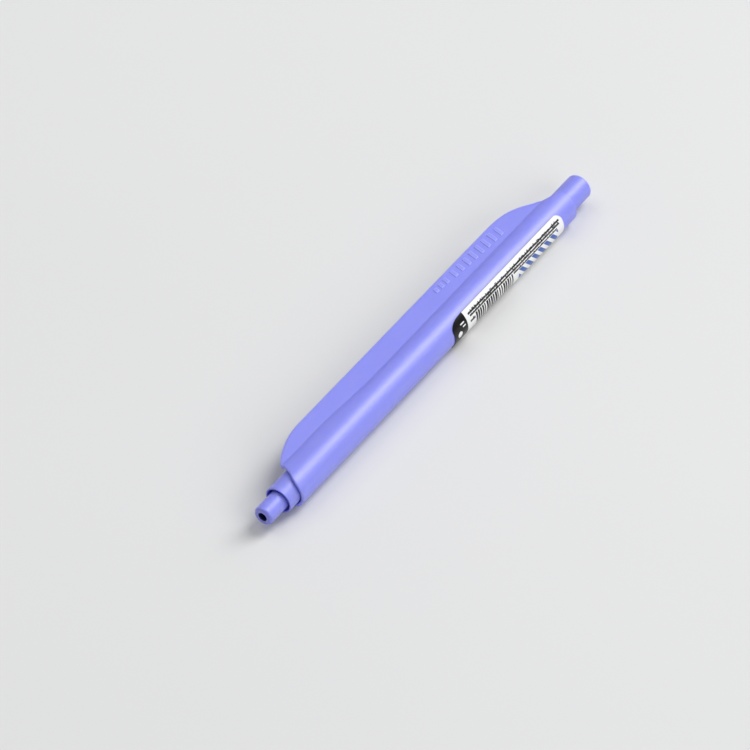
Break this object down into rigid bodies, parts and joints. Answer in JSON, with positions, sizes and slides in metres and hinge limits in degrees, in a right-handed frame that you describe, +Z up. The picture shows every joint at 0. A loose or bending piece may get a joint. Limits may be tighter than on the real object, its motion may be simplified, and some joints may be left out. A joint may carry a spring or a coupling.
{
  "type": "retractable click pen",
  "caption": "Slim retractable pen with a push button, a spring-loaded refill and a broad wing-shaped clip moulded along its open-sided sleeve.",
  "frame": {"origin": "on the table under the middle of the pen's bounding box, with the pen lying on its sleeve and the clip level", "axes": "+X along the pen towards the push button, +Y towards the clip's outer edge, +Z up"},
  "size_m": [0.1452, 0.0144, 0.01],
  "materials": {
    "lavender_plastic": "satin",
    "natural_plastic": "matt",
    "tube_plastic": "translucent",
    "spring_steel": "bright",
    "nickel_silver": "bright",
    "carbide": "polished",
    "violet_ink": "liquid",
    "clear_grease": "clear",
    "printed_label": "satin film"
  },
  "bodies": {
    "barrel": {"outer_sleeve": "lavender_plastic", "inner_barrel": "lavender_plastic", "nose_tip": "lavender_plastic", "cam_guide": "natural_plastic", "label": "printed_label", "return_spring": "spring_steel"},
    "button": {"push_button": "lavender_plastic", "knock_cam": "natural_plastic"},
    "refill": {"rotor_cam": "natural_plastic", "refill_plug": "natural_plastic", "refill_tube": "tube_plastic", "ink_column": "violet_ink", "ink_follower": "clear_grease", "tip_connector": "natural_plastic", "metal_point": "nickel_silver"},
    "ball": {"writing_ball": "carbide"}
  },
  "joints": [
    {"name": "button_press", "type": "slide", "parent": "barrel", "child": "button", "axis": [-1, 0, 0], "range_m": [0, 0.0055], "stiffness_N_per_m": 300, "springref_m": -0.004},
    {"name": "refill_slide", "type": "slide", "parent": "barrel", "child": "refill", "axis": [-1, 0, 0], "range_m": [0, 0.0055], "deforming": ["return_spring"]},
    {"name": "ball_roll", "type": "hinge", "parent": "refill", "child": "ball", "pos_m": [-0.06955, -0.00204, 0.005], "axis": [0, 1, 0], "continuous": true}
  ],
  "couplings": [
    {"joint": "refill_slide", "follows": "button_press", "ratio": 1}
  ]
}
